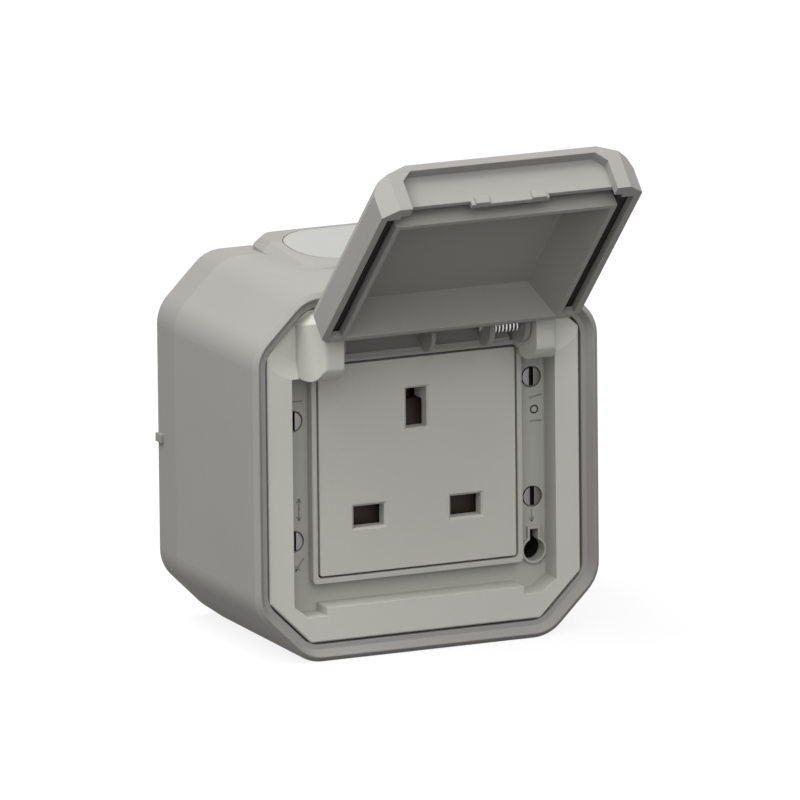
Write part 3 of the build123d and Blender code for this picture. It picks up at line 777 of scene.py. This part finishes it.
class SOCKET_OT_shutter_spring(bpy.types.Operator):
    """Round wire of the shutter's spring"""

    bl_idname = "weather_socket.shutter_spring"
    bl_label = "Shutter Spring"

    def execute(self, context):
        spring = context.scene.shutter_spring
        low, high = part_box("shutter_spring")
        middle = (low + high) / 2
        bottom, top = low.z + spring.wire / 2, high.z - spring.wire / 2
        closed_rise = spring.closed_turns * spring.wire
        pitch = (top - bottom - 2 * closed_rise) / spring.open_turns
        turns = spring.open_turns + 2 * spring.closed_turns
        steps = round(turns * SHUTTER_STEPS)
        points = []
        for step in range(steps + 1):
            turn = turns * step / steps
            opened = min(max(turn - spring.closed_turns, 0), spring.open_turns)
            height = bottom + opened * pitch + (turn - opened) * spring.wire
            around = 2 * math.pi * turn
            points.append(Vector((middle.x + spring.coil_radius * math.cos(around),
                                  middle.y + spring.coil_radius * math.sin(around), height)))
        coil = spring_object("shutter_coil", points, spring.wire, SHUTTER_WIRE_SIDES)
        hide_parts("shutter_spring")
        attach(coil, "root")
        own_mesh(coil)
        return {"FINISHED"}


class SOCKET_OT_marks(bpy.types.Operator):
    """Raised bars, circle and arrows on the floor of the frame's channels"""

    bl_idname = "weather_socket.marks"
    bl_label = "Moulded Marks"

    def execute(self, context):
        marks = context.scene.moulded_marks
        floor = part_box("frame_screws")[0].y
        lines = bmesh.new()
        for start, end in BARS.values():
            raised_line(lines, floor, marks, start, end)
        raised_circle(lines, floor, marks)
        for start, end in ARROWS.values():
            raised_arrow(lines, floor, marks, start, end)
        bmesh.ops.recalc_face_normals(lines, faces=lines.faces)
        item = mesh_object("channel_marks", lines)
        # Painted shade: the marks are the frame's grey made darker, for the shade on their small relief and
        # against the painted shade of the channel floor.
        mark_shade_grey = shade(context.scene.socket_finishes.frame_grey, MARK_SHADE)
        plastic = moulded_material(
            "mark_plastic", mark_shade_grey, roughness=(0.52, 0.66), specular=0.14, painted_edge_tone=1.0
        )
        item.data.materials.append(plastic)
        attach(item, "root")
        return {"FINISHED"}


class SOCKET_OT_stage(bpy.types.Operator):
    """Pale floor, soft light and camera"""

    bl_idname = "weather_socket.stage"
    bl_label = "Studio Stage"

    def execute(self, context):
        scene = context.scene
        stage = scene.studio_stage
        scene.view_settings.view_transform = "Standard"
        make_floor(stage)
        make_world(scene, stage)
        for label, way in LAMP_WAYS.items():
            make_lamp(scene, f"{label}_light", getattr(stage, f"{label}_power"), way)
        make_camera(scene, stage)
        return {"FINISHED"}


class SOCKET_PT_panel(bpy.types.Panel):
    """Socket's pieces, in the order in which they are made"""

    bl_idname = "SOCKET_PT_panel"
    bl_label = "Weatherproof Socket"
    bl_space_type = "VIEW_3D"
    bl_region_type = "UI"
    bl_category = "Socket"

    def draw(self, context):
        for operator in OPERATORS:
            self.layout.operator(operator.bl_idname)
        for group in (getattr(context.scene, label) for label in GROUPS):
            box = self.layout.box()
            for label in group.__annotations__:
                box.prop(group, label)


OPERATORS = (
    SOCKET_OT_box,
    SOCKET_OT_lid,
    SOCKET_OT_frame,
    SOCKET_OT_module,
    SOCKET_OT_rubbers,
    SOCKET_OT_metals,
    SOCKET_OT_hinge_spring,
    SOCKET_OT_shutter_spring,
    SOCKET_OT_marks,
    SOCKET_OT_stage,
)
GROUPS = {
    "socket_finishes": SocketFinishes,
    "hinge_spring": HingeSpring,
    "shutter_spring": ShutterSpring,
    "moulded_marks": MouldedMarks,
    "studio_stage": StudioStage,
}


def register():
    """Adds the classes to Blender and the property groups to the scene."""
    for item in (*GROUPS.values(), *OPERATORS, SOCKET_PT_panel):
        bpy.utils.register_class(item)
    for label, group in GROUPS.items():
        setattr(bpy.types.Scene, label, PointerProperty(type=group))


def unregister():
    """Takes the property groups and the classes away again."""
    for label in GROUPS:
        delattr(bpy.types.Scene, label)
    for item in reversed((*GROUPS.values(), *OPERATORS, SOCKET_PT_panel)):
        bpy.utils.unregister_class(item)


def main():
    """Makes the whole socket."""
    register()
    bpy.ops.weather_socket.box()
    bpy.ops.weather_socket.lid()
    bpy.ops.weather_socket.frame()
    bpy.ops.weather_socket.module()
    bpy.ops.weather_socket.rubbers()
    bpy.ops.weather_socket.metals()
    bpy.ops.weather_socket.hinge_spring()
    bpy.ops.weather_socket.shutter_spring()
    bpy.ops.weather_socket.marks()
    bpy.ops.weather_socket.stage()


if __name__ == "__main__":
    main()
